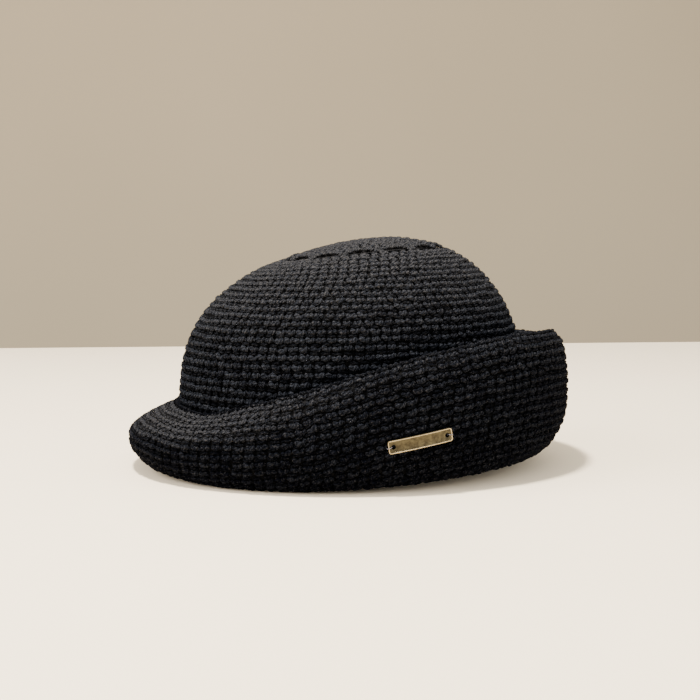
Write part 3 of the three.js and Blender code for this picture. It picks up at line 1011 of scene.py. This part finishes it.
@dataclass
class Stitchwork:
    """The stitches' own sizes, in millimetres, for a stitch 5.9 wide and 4.3 high."""

    width: float = 5.9
    height: float = 4.3
    leg: float = 1.25
    depth: float = 0.3
    lean: float = 0.17
    stray: float = 0.16
    seed: int = 41

    def plain(self) -> list[Template]:
        """The plain stitch in its looks: a round knob of two legs, a thin strand beside it and a loop above."""
        loop = Strand((-2.6, 2.3, -0.5), (2.6, 2.1, -0.5), 0.88, rise=0.05, flat=1.25, sides=4, rings=4)
        looks = {
            "heart": [
                Strand((-2.4, 0.8, -0.45), (0.8, -1.0, -0.3), self.leg * 1.06),
                Strand((0.1, -0.95, -0.4), (2.5, 0.9, -0.45), self.leg * 0.96),
                Strand((2.3, 1.1, -0.6), (3.6, -1.0, -0.65), 0.6, rise=0.3, flat=1.0, sides=4, rings=4),
            ],
            "leaning": [
                Strand((-2.5, 1.0, -0.45), (1.0, -0.85, -0.25), self.leg * 1.12, rise=0.45),
                Strand((0.7, -1.15, -0.45), (2.6, 0.6, -0.45), self.leg * 0.86),
                Strand((1.6, 1.3, -0.6), (3.5, 0.0, -0.6), 0.65, rise=0.3, flat=1.0, sides=4, rings=4),
            ],
            "round": [
                Strand((-2.2, 0.9, -0.45), (-0.1, -1.1, -0.4), self.leg * 0.98),
                Strand((-0.9, -0.6, -0.3), (2.4, 0.6, -0.35), self.leg * 1.16),
                Strand((2.1, 0.7, -0.6), (3.5, -1.1, -0.6), 0.65, rise=0.3, flat=1.0, sides=4, rings=4),
            ],
            "crossed": [
                Strand((-2.6, 0.5, -0.4), (0.3, -0.75, -0.3), self.leg * 1.1),
                Strand((0.2, 0.7, -0.4), (2.8, -0.7, -0.4), self.leg * 0.96),
                Strand((-0.5, 1.35, -0.4), (1.0, -1.3, -0.1), 0.5, rise=0.45, flat=1.0, sides=4, rings=4),
            ],
        }
        return [Template.model(name, [*strands, loop]) for name, strands in looks.items()]

    def back(self) -> list[Template]:
        """The stitch's other side, seen on the inner face of the brim: a low bar over two short legs."""
        bar = Strand((-2.7, 0.9, -0.4), (2.7, 0.6, -0.4), 0.95, sides=5, rings=4)
        looks = {
            "back_even": [
                bar,
                Strand((-2.1, -1.1, -0.5), (0.3, -1.2, -0.4), 0.95, sides=5, rings=4),
                Strand((0.4, -1.5, -0.6), (2.6, -0.9, -0.5), 0.85, sides=5, rings=4),
            ],
            "back_leaning": [
                bar,
                Strand((-2.4, -0.6, -0.5), (0.6, -1.6, -0.45), 0.95, sides=5, rings=4),
                Strand((0.9, -1.0, -0.6), (2.8, -1.4, -0.5), 0.85, sides=5, rings=4),
            ],
        }
        return [Template.model(name, strands) for name, strands in looks.items()]

    def braid(self) -> list[Template]:
        """One link of the chain along a finished edge: two fat slanting strands, one over the other."""
        strands = [
            Strand((-2.6, -1.5, -0.7), (1.4, 1.1, 0.0), 1.55, rise=0.6, flat=0.95),
            Strand((0.2, -1.5, -0.6), (3.4, 0.9, -0.4), 1.3, rise=0.5, flat=0.95),
        ]
        return [Template.model("link", strands)]

    def lip(self) -> list[Template]:
        """One link of the flat chain over a slot: two thin strands laid along it."""
        strands = [
            Strand((-2.7, -0.4, -0.5), (1.3, 0.35, -0.2), 0.95, rise=0.25, flat=0.9),
            Strand((-0.9, 0.4, -0.5), (2.9, -0.35, -0.4), 0.85, rise=0.2, flat=0.9),
        ]
        return [Template.model("lip", strands)]


@dataclass
class Crown:
    """The crown: a shell with a ring of slots, covered in rounds of stitches."""

    shape: CrownShape
    work: Stitchwork
    eyelet_count: int = 14
    eyelet_row: float = 2.0
    eyelet_length: float = 14.5
    eyelet_width: float = 4.6
    eyelet_start: float = 255.0
    rounds_above: int = 9
    fewest_stitches: int = 5
    most_stitches: int = 99
    stitch_width: float = 5.65
    pitch: float = 4.45
    pitch_low: float = 5.8
    room_above: float = 1.25
    room_below: float = 1.35
    room_reach: float = 1.7
    post_half: float = 1.6
    lip_links: int = 5
    lip_spare: float = 3.0
    lip_link: float = 4.2
    ground_depth: float = 1.9
    tones: tuple[float, float] = (0.3, 1.0)

    def rounds(self) -> tuple[list[float], Array]:
        """The row at the middle of each round, from the pole to the foot, and each round's height."""
        rows, depth = self.shape.depth_of_rows()
        to_slots = float(np.interp(self.eyelet_row, rows, depth))
        pitch = to_slots / (self.rounds_above + 0.5)
        places = [pitch * (k + 0.5) for k in range(self.rounds_above)] + [to_slots]
        while places[-1] + self.pitch_low < depth[-1]:
            share = (places[-1] - to_slots) / (depth[-1] - to_slots)
            places.append(places[-1] + self.pitch + (self.pitch_low - self.pitch) * share**2)
        return [float(np.interp(p, depth, rows)) for p in places], np.gradient(places)

    def slot_stations(self) -> Array:
        """Stations of the slots' centres."""
        return (self.eyelet_start + 360 * np.arange(self.eyelet_count) / self.eyelet_count) % 360

    def stitch_spots(self) -> list[Spots]:
        """Spots of every round, one group for each, without those that a slot takes."""
        groups = []
        chance = np.random.default_rng(self.work.seed + 5)
        for k, (row, tall) in enumerate(zip(*self.rounds())):
            girth = self.shape.girth(row)
            count = min(self.most_stitches, max(self.fewest_stitches, round(girth / self.stitch_width)))
            shift = -self.work.lean * k + float(chance.normal(0, 0.1))
            if k == self.rounds_above:
                groups.append(self.post_spots(row))
                continue
            stations = self.shape.even_stations(row, count, shift)
            along, up, out = self.shape.axes(row, stations)
            room = girth / count / self.work.width
            place = self.shape.point(row, stations) - out * self.work.depth
            place += up * (wander(chance, stations, self.work.stray) + self.slot_room(k, stations))[:, None]
            groups.append(Spots(place, along * room, up * tall / self.work.height * 1.03, out))
        return groups

    def slot_room(self, k: int, stations: Array) -> Array:
        """How far the rounds beside the slots are drawn away from them, towards the pole."""
        if abs(k - self.rounds_above) != 1:
            return np.zeros(len(stations))
        turn = (stations[:, None] - self.slot_stations()[None, :] + 180) % 360 - 180
        half = 180 * self.eyelet_length / self.shape.girth(self.eyelet_row)
        near = np.clip(self.room_reach - np.abs(turn).min(axis=1) / half, 0, 1)
        return near * (self.room_above if k < self.rounds_above else -self.room_below)

    def post_spots(self, row: float) -> Spots:
        """Spots between the slots, two narrow stitches on each post."""
        half = 180 / self.eyelet_count
        posts = self.slot_stations() + half
        stations = np.concatenate([posts - self.post_half, posts + self.post_half])
        along, up, out = self.shape.axes(row, stations)
        place = self.shape.point(row, stations) - out * self.work.depth
        return Spots(place, along * 0.55, up * 1.12, out)

    def ground(self) -> bpy.types.Object:
        """The shell behind the stitches, with the slots cut through."""
        rows = np.concatenate([[0.0], np.linspace(0.12, 9, 64)])
        grid_rows, grid_stations = np.meshgrid(rows, GROUND_ANGLES, indexing="ij")
        _, _, out = self.shape.axes(grid_rows, grid_stations)
        out[0] = out[1].mean(axis=0)
        points = self.shape.point(grid_rows, grid_stations) - unit(out) * self.ground_depth
        depth_rows, depth = self.shape.depth_of_rows()
        v = np.interp(grid_rows, depth_rows, depth) / self.pitch
        u = grid_stations / 360 * self.most_stitches
        shell = cloth_grid("crown_ground", points, u, v, self.most_stitches)
        thicken(shell, WALL - self.ground_depth)
        for station in self.slot_stations():
            self.cut_slot(shell, float(station))
        return shell

    def cut_slot(self, shell: bpy.types.Object, station: float) -> None:
        """Cuts one round-ended slot through the shell along its normal."""
        along, up, out = (Vector(a) for a in self.shape.axes(self.eyelet_row, station))
        radius = self.eyelet_width / 2
        bpy.ops.mesh.primitive_cylinder_add(vertices=20, radius=radius * MM, depth=WALL * 4 * MM)
        cutter = bpy.context.object
        slide = (self.eyelet_length / 2 - radius) * MM
        for sign in (-1, 1):
            pick(cutter, Part.VERT, lambda v: v.co.x * sign >= TINY)
            bpy.ops.transform.translate(value=(sign * slide, 0, 0))
        bpy.ops.object.mode_set(mode="OBJECT")
        basis = Matrix((along, up, out)).transposed().to_4x4()
        middle = Vector(self.shape.point(self.eyelet_row, station)) - out * (WALL / 2)
        cutter.data.transform(Matrix.Translation(middle * MM) @ basis)
        cut_out(shell, cutter)

    def slot_edging(self) -> Spots:
        """Chain links that arch over the upper lip of every slot."""
        rows, depth = self.shape.depth_of_rows()
        middle = float(np.interp(self.eyelet_row, rows, depth))
        row = float(np.interp(middle - self.eyelet_width / 2 - 0.1, depth, rows))
        link = (self.eyelet_length + self.lip_spare) / self.lip_links
        step = 360 * link / self.shape.girth(row)
        offsets = (np.arange(self.lip_links) - (self.lip_links - 1) / 2) * step
        stations = (self.slot_stations()[:, None] + offsets[None, :]).ravel()
        along, up, out = self.shape.axes(row, stations)
        arch = np.tile(1 - (offsets / offsets.max()) ** 2, len(self.slot_stations()))[:, None]
        place = self.shape.point(row, stations) + out * (0.3 + 0.5 * arch) + up * (0.7 * arch - 0.6)
        return Spots(place, along * (link / self.lip_link), up, out)

    def build(self, yarn: bpy.types.Material, ground: bpy.types.Material) -> list[bpy.types.Object]:
        """Builds the crown's pieces.

        Args:
            yarn: The strands' material.
            ground: The shell's material.

        Returns:
            The pieces, the shell first.
        """
        rng = np.random.default_rng(self.work.seed)
        stitch, lip = self.work.plain(), self.work.lip()
        shell = self.ground()
        dress(shell, ground, "crown")
        groups = self.stitch_spots()
        bands = {"crown_rounds_top": (0, 19), "crown_rounds_middle": (19, 31), "crown_rounds_low": (31, 99)}
        pieces = [shell]
        for name, (first, last) in bands.items():
            spots = Spots.gather(groups[first:last]).jittered(rng, 0.2, 5.0, 0.07)
            pieces.append(copy_stitches(name, stitch, spots, rng, self.tones))
        edging = self.slot_edging().jittered(rng, 0.1, 3.0, 0.04)
        pieces.append(copy_stitches("crown_slot_chains", lip, edging, rng, self.tones))
        for piece in pieces[1:]:
            dress(piece, yarn, "crown")
        return pieces


@dataclass
class Brim:
    """The brim: a folded band of cloth, covered in rounds that follow its free edge."""

    face: BrimFace
    work: Stitchwork
    stitches: int = 113
    pitch: float = 4.9
    first_round: float = 0.62
    even_at: float = 30.0
    flatten: float = 0.6
    curl_depth: float = 2.3
    curl_reach: float = 9.0
    ground_depth: float = 1.7
    lining_rounds: int = 13
    lining_turn: float = 140.0
    lining_step: float = 6.0
    lining_end: float = 18.0
    # lower than the crown's tones: the brim is painted darker, as painted shade on sides that face away from the light
    # above
    tones: tuple[float, float] = (-0.04, 0.28)

    def stitch_spots(self) -> Spots:
        """Spots all over the outer face, from the edge to the head opening."""
        groups = []
        chance = np.random.default_rng(self.work.seed + 6)
        for k in range(int(float(self.face.length.max()) / self.pitch)):
            down = (k + self.first_round) * self.pitch
            shift = -self.work.lean * k + float(chance.normal(0, 0.1))
            stations = self.face.even_stations(self.even_at, self.stitches, shift)
            along, up, out = self.face.axes(down, stations)
            near = self.face.point(down, stations + 1.0) - self.face.point(down, stations - 1.0)
            room = np.linalg.norm(near, axis=-1) / 2 * (360 / self.stitches) / self.work.width
            room *= self.station_room(stations)
            sink = self.work.depth + (0.6 if k == 0 else 0.0) + self.curl(down, stations)
            place = self.face.point(down, stations) - out * sink
            place += up * wander(chance, stations, self.work.stray)[:, None]
            lying = 1 - self.flatten * np.clip((out[:, 2:] - 0.45) / 0.4, 0, 1)
            spots = Spots(place, along * room[:, None], up * self.pitch / self.work.height, out * lying)
            groups.append(spots.only(down < self.face.run(stations) - 1.0))
        return Spots.gather(groups)

    def curl(self, down: Array, stations: Array) -> Array:
        """How far the cloth rolls inwards close to its free edge, most at the back."""
        back = 0.5 + 0.5 * np.cos(np.radians(stations))
        return (self.curl_depth * back * np.clip(1 - down / self.curl_reach, 0, 1) ** 2)[..., None]

    def station_room(self, stations: Array) -> Array:
        """How much the even spacing stretches the stations at each stitch."""
        ordered = np.sort(stations)
        gaps = np.diff(np.concatenate([ordered, [ordered[0] + 360]]))
        return np.interp(stations, ordered, gaps) / (360 / self.stitches)

    def lining_spots(self) -> Spots:
        """Spots on the inner face, just below the edge, where it stands clear of the crown."""
        groups = []
        for k in range(self.lining_rounds):
            down = (k + self.first_round) * self.pitch
            stations = self.face.even_stations(self.even_at, self.stitches, -self.work.lean * k)
            along, up, out = self.face.axes(down, stations)
            place = self.face.point(down, stations) - out * (WALL - self.work.depth + self.curl(down, stations))
            turn = np.abs((stations + 180) % 360 - 180)
            room = self.station_room(stations) * 1.02
            spots = Spots(place, -along * room[:, None], up * self.pitch / self.work.height, -out)
            clear = turn < self.lining_turn - self.lining_step * k
            groups.append(spots.only(clear & (down < self.face.run(stations) - self.lining_end)))
        return Spots.gather(groups)

    def edge_spots(self) -> Spots:
        """Links of the chain that finishes the free edge."""
        stations = self.face.even_stations(0.5, self.stitches, 0.3)
        along, up, out = self.face.axes(1.0, stations)
        place = self.face.point(0.0, stations) - out * (WALL / 2 + self.curl(0.0, stations)) - up * 0.3
        room = self.station_room(stations) * 1.08
        return Spots(place, along * room[:, None], -out * 1.15, up)

    def ground(self) -> bpy.types.Object:
        """The band behind the stitches, from the edge round the fold to the opening."""
        grid_stations, grid_share = np.meshgrid(GROUND_ANGLES, np.linspace(0, 1, 56))
        downs = 0.9 + grid_share * (self.face.run(grid_stations) - 1.0)
        _, _, out = self.face.axes(downs, grid_stations)
        sink = self.ground_depth + self.curl(downs, grid_stations)
        points = self.face.point(downs, grid_stations) - out * sink
        u = grid_stations / 360 * self.stitches
        band = cloth_grid("brim_ground", points, u, downs / self.pitch, self.stitches)
        thicken(band, WALL - self.ground_depth)
        return band

    def build(self, yarn: bpy.types.Material, ground: bpy.types.Material) -> list[bpy.types.Object]:
        """Builds the brim's pieces.

        Args:
            yarn: The strands' material.
            ground: The band's material.

        Returns:
            The pieces, the band first.
        """
        rng = np.random.default_rng(self.work.seed + 1)
        stitch, inner, link = self.work.plain(), self.work.back(), self.work.braid()
        band = self.ground()
        dress(band, ground, "brim")
        spots = self.stitch_spots().jittered(rng, 0.2, 5.5, 0.06)
        lining = self.lining_spots().jittered(rng, 0.2, 4.0, 0.05)
        edge = self.edge_spots().jittered(rng, 0.15, 3.0, 0.05)
        plate_side = spots.place[:, 1] < CENTRE[1]
        pieces = [band]
        for name, here in (("brim_rounds_plate_side", plate_side), ("brim_rounds_far_side", ~plate_side)):
            # the brim's rounds get painted sheen where they face up, painted light that grows with height, and lighter
            # painted shade in their grooves
            rounds = copy_stitches(name, stitch, spots.only(here), rng, self.tones, worn=0.9, shade=0.7, rise=0.34)
            pieces.append(rounds)
        pieces.append(copy_stitches("brim_lining_rounds", inner, lining, rng, self.tones))
        pieces.append(copy_stitches("brim_edge_chain", link, edge, rng, self.tones, worn=0.45))
        for piece in pieces[1:]:
            dress(piece, yarn, "brim")
        return pieces


def cloth_grid(name: str, points: Array, u: Array, v: Array, girth: float) -> bpy.types.Object:
    """A surface closed round the hat from a grid of rounds by stations.

    Args:
        name: The piece's name.
        points: Points by round and station, in millimetres.
        u: Stitches along the round.
        v: Rounds across the cloth.
        girth: Stitches in a whole round.

    Returns:
        The surface, facing out of the hat.
    """
    rounds, count = u.shape
    a = (np.arange(rounds - 1)[:, None] * count + np.arange(count)[None, :]).ravel()
    b = (np.arange(rounds - 1)[:, None] * count + (np.arange(count) + 1)[None, :] % count).ravel()
    faces = np.stack([a, a + count, b + count, b], axis=1)
    uv = np.stack([u, v], axis=-1).reshape(-1, 2)[faces]
    wrap = uv[:, :, 0].max(axis=1) - uv[:, :, 0].min(axis=1) > girth / 2
    low = uv[:, :, 0] < girth / 2
    uv[:, :, 0] += np.where(wrap[:, None] & low, girth, 0)
    return new_mesh(name, points.reshape(-1, 3), faces, uv.reshape(-1, 2))


def thicken(cloth: bpy.types.Object, thickness: float) -> None:
    """Welds a surface's doubled points and gives it its thickness inwards."""
    choose(cloth)
    weld = cloth.modifiers.new("weld", "WELD")
    weld.merge_threshold = 0.00002
    wall = cloth.modifiers.new("wall", "SOLIDIFY")
    wall.thickness, wall.offset = thickness * MM, -1
    finish_modifiers(cloth)


# The plate and its thread


@dataclass
class Plate:
    """A small brass plate with a raised rim and two holes, sewn to the brim."""

    face: BrimFace
    length: float = 34.7
    height: float = 6.9
    thick: float = 1.0
    rim: float = 0.55
    rim_rise: float = 0.35
    hole_radius: float = 1.2
    hole_inset: float = 2.7
    station: float = 276.0
    centre_z: float = 29.1
    tilt: float = 9.9
    bend_radius: float = 158.0
    corner: float = 1.2
    soft_edge: float = 0.13
    thread: float = 0.15
    lift: float = 0.7

    def stand(self) -> Matrix:
        """The plate's own frame on the brim: along, up its height, and out."""
        downs = np.arange(0, 90, 0.25)
        heights = self.face.point(downs, self.station)[:, 2]
        down = float(downs[np.argmin(np.abs(heights - self.centre_z))])
        origin = Vector(self.face.point(down, self.station))
        slant, rise, _ = (Vector(a) for a in self.face.axes(down, self.station))
        along = Vector((slant.x, slant.y, 0)).normalized()
        out = along.cross(rise).normalized()
        up = out.cross(along)
        basis = Matrix((along, up, out)).transposed().to_4x4()
        turn = Matrix.Rotation(math.radians(self.tilt), 4, "Z")
        return Matrix.Translation((origin + out * self.lift) * MM) @ basis @ turn

    def bend(self, points: Array) -> Array:
        """Bends points of the flat plate round the brim."""
        angle = points[:, 0] / self.bend_radius
        radius = self.bend_radius + points[:, 2]
        return np.stack([radius * np.sin(angle), points[:, 1], radius * np.cos(angle) - self.bend_radius], axis=1)

    def plate(self) -> bpy.types.Object:
        """Models the plate flat, cuts its holes, bends it and sets it in place."""
        bpy.ops.mesh.primitive_cube_add(size=1)
        plate = bpy.context.object
        plate.name = "name_plate_brass"
        full = self.thick + self.rim_rise
        plate.scale = (self.length, self.height, full)
        plate.location = (0, 0, full / 2)
        apply_place(plate)
        points = plate.data.vertices
        pick(plate, Part.EDGE, lambda e: abs(points[e.vertices[0]].co.z - points[e.vertices[1]].co.z) > 0.5)
        bpy.ops.mesh.bevel(offset=self.corner, segments=5, affect="EDGES")
        pick(plate, Part.FACE, lambda f: f.normal.z > 0.9)
        bpy.ops.mesh.inset(thickness=self.rim * 0.75, depth=0)
        bpy.ops.mesh.inset(thickness=self.rim * 0.25, depth=-self.rim_rise)
        for x in np.linspace(-15, 15, 11):
            bpy.ops.mesh.select_all(action="SELECT")
            bpy.ops.mesh.bisect(plane_co=(float(x), 0, 0), plane_no=(1, 0, 0))
        bpy.ops.object.mode_set(mode="OBJECT")
        self.drill(plate)
        soften = plate.modifiers.new("soften", "BEVEL")
        soften.width, soften.segments, soften.limit_method = self.soft_edge, 2, "ANGLE"
        soften.angle_limit = math.radians(28)
        finish_modifiers(plate)
        self.seat(plate)
        choose(plate)
        bpy.ops.object.shade_smooth_by_angle(angle=math.radians(35))
        return plate

    def drill(self, plate: bpy.types.Object) -> None:
        """Cuts the two sewing holes."""
        for sign in (-1, 1):
            x = sign * (self.length / 2 - self.hole_inset)
            bpy.ops.mesh.primitive_cylinder_add(vertices=24, radius=self.hole_radius, depth=8, location=(x, 0, 0))
            cutter = bpy.context.object
            apply_place(cutter)
            cut_out(plate, cutter)

    def seat(self, piece: bpy.types.Object) -> None:
        """Marks the worn edges, then bends a flat piece and sets it on the brim."""
        mesh = piece.data
        points = np.empty(len(mesh.vertices) * 3)
        mesh.vertices.foreach_get("co", points)
        points = points.reshape(-1, 3)
        worn = mesh.attributes.new("rubbed", "FLOAT", "POINT")
        edge = points[:, 2] > self.thick + 0.12
        worn.data.foreach_set("value", edge.astype(np.float32))
        mesh.vertices.foreach_set("co", (self.bend(points) * MM).ravel())
        mesh.transform(self.stand())
        mesh.update()

    def thread_loop(self, end: End, name: str) -> bpy.types.Object:
        """A fine thread from a hole over the plate's end and into the cloth.

        Args:
            end: The end of the plate that it holds.
            name: The piece's name.

        Returns:
            The thread as a mesh.
        """
        tip = self.length / 2
        hole = tip - self.hole_inset
        top = self.thick + self.rim_rise + self.thread + 0.12
        path = [
            (hole + 0.55, 0.1, -1.8),
            (hole + 0.75, 0.1, 0.2),
            (hole + 0.95, 0.05, top - 0.45),
            (tip - 0.7, -0.15, top),
            (tip + 0.35, -0.3, top - 0.45),
            (tip + 0.75, -0.4, 0.1),
            (tip + 0.5, -0.45, -1.6),
        ]
        curve = bpy.data.curves.new(name, "CURVE")
        curve.dimensions, curve.resolution_u, curve.use_fill_caps = "3D", 8, True
        curve.bevel_depth, curve.bevel_resolution = self.thread, 3
        spline = curve.splines.new("BEZIER")
        spline.bezier_points.add(len(path) - 1)
        for knot, (x, y, z) in zip(spline.bezier_points, path):
            knot.co = (end.value * x, y, z)
            knot.handle_left_type = knot.handle_right_type = "AUTO"
        loop = bpy.data.objects.new(name, curve)
        bpy.context.scene.collection.objects.link(loop)
        choose(loop)
        bpy.ops.object.convert(target="MESH")
        loop = bpy.context.object
        self.seat(loop)
        bpy.ops.object.shade_smooth()
        return loop

    def build(self, brass: bpy.types.Material, line: bpy.types.Material) -> list[bpy.types.Object]:
        """Builds the plate and both threads, in place of their plain solids."""
        plate = self.plate()
        dress(plate, brass, "name_plate")
        pieces = [plate]
        for end in End:
            side = end.name.lower()
            loop = self.thread_loop(end, f"thread_loop_{side}")
            dress(loop, line, f"plate_thread_{side}")
            pieces.append(loop)
        return pieces


# Table, lights and camera


@dataclass(frozen=True)
class Studio:
    """A pale table under soft light, seen a little from above on the plate's side."""

    camera_place: tuple[float, float, float] = (-145.65, -685.2, 133.3)
    yaw: float = 12.0
    pitch: float = 5.44
    lens: float = 60.35
    table_end: float = 0.765
    table_turn: float = -6.3
    table_size: tuple[float, float] = (6.0, 3.8)
    backdrop_place: tuple[float, float, float] = (0, 1.6, 1)
    ambient: Colour = (1.0, 0.98, 0.94, 1)
    ambient_strength: float = 1.73
    lamps: tuple[tuple[str, tuple[float, ...], float, float, tuple[float, ...]], ...] = (
        ("ceiling_light", (-0.28, -0.22, 1.35), 0.14, 58.0, (1.0, 0.95, 0.87)),
        ("side_light", (-1.25, -0.25, 0.72), 1.0, 27.0, (1.0, 0.98, 0.96)),
        ("fill_light", (1.15, -0.75, 0.4), 0.9, 9.5, (0.93, 0.95, 0.97)),
    )

    def build(self) -> None:
        """Adds the table, the lights, the surroundings and the camera."""
        clear_selection()
        width, depth = self.table_size
        turn = math.radians(self.table_turn)
        bpy.ops.mesh.primitive_plane_add(size=1)
        table = bpy.context.object
        table.scale = (width, depth, 1.0)
        table.rotation_euler = (0, 0, turn)
        table.location = (depth / 2 * math.sin(turn), self.table_end - depth / 2 * math.cos(turn), 0)
        apply_place(table)
        upright = (math.radians(90), 0, 0)
        bpy.ops.mesh.primitive_plane_add(size=width, location=self.backdrop_place, rotation=upright)
        backdrop = bpy.context.object
        for plain, name, finish in ((table, "table", TABLE), (backdrop, "backdrop", BACKDROP)):
            plain.name = name
            plain.data.materials.append(finish.build())
        for lamp in self.lamps:
            self.light(*lamp)
        world = bpy.data.worlds.new("surroundings")
        world.use_nodes = True
        surroundings = world.node_tree.nodes["Background"].inputs
        surroundings["Color"].default_value = self.ambient
        surroundings["Strength"].default_value = self.ambient_strength
        bpy.context.scene.world = world
        camera = bpy.data.objects.new("camera", bpy.data.cameras.new("camera"))
        camera.data.lens = self.lens
        camera.data.sensor_width = 36.0
        camera.location = Vector(self.camera_place) * MM
        camera.rotation_euler = (math.radians(90 - self.pitch), 0, math.radians(-self.yaw))
        bpy.context.scene.collection.objects.link(camera)
        bpy.context.scene.camera = camera

    def light(self, name: str, place: tuple[float, ...], size: float, power: float, colour: tuple[float, ...]) -> None:
        """Adds a square soft light aimed at the hat."""
        lamp = bpy.data.lights.new(name, "AREA")
        lamp.shape, lamp.size, lamp.energy, lamp.color = "SQUARE", size, power, colour
        holder = bpy.data.objects.new(name, lamp)
        holder.location = place
        aim = Vector((0, 0, 0.06)) - Vector(place)
        holder.rotation_euler = aim.to_track_quat("-Z", "Y").to_euler()
        bpy.context.scene.collection.objects.link(holder)


def report(pieces: list[bpy.types.Object]) -> None:
    """Logs the triangles of each piece."""
    for piece in pieces:
        piece.data.calc_loop_triangles()
        LOG.info("%s: %d triangles", piece.name, len(piece.data.loop_triangles))


def main() -> None:
    """Builds the hat round its frame, piece by piece."""
    logging.basicConfig(level=logging.INFO, format="%(message)s")
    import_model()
    clear_selection()
    Studio().build()
    plies = ply_group()
    yarn, ground = YarnFinish().build(plies), ClothFinish().build()
    work = Stitchwork()
    crown_shape = CrownShape()
    face = BrimFace(BrimShape(crown_shape))
    report(Crown(crown_shape, work).build(yarn, ground))
    report(Brim(face, work).build(yarn, ground))
    report(Plate(face).build(BrassFinish().build(), ThreadFinish().build(plies)))
    clear_selection()


if __name__ == "__main__":
    main()
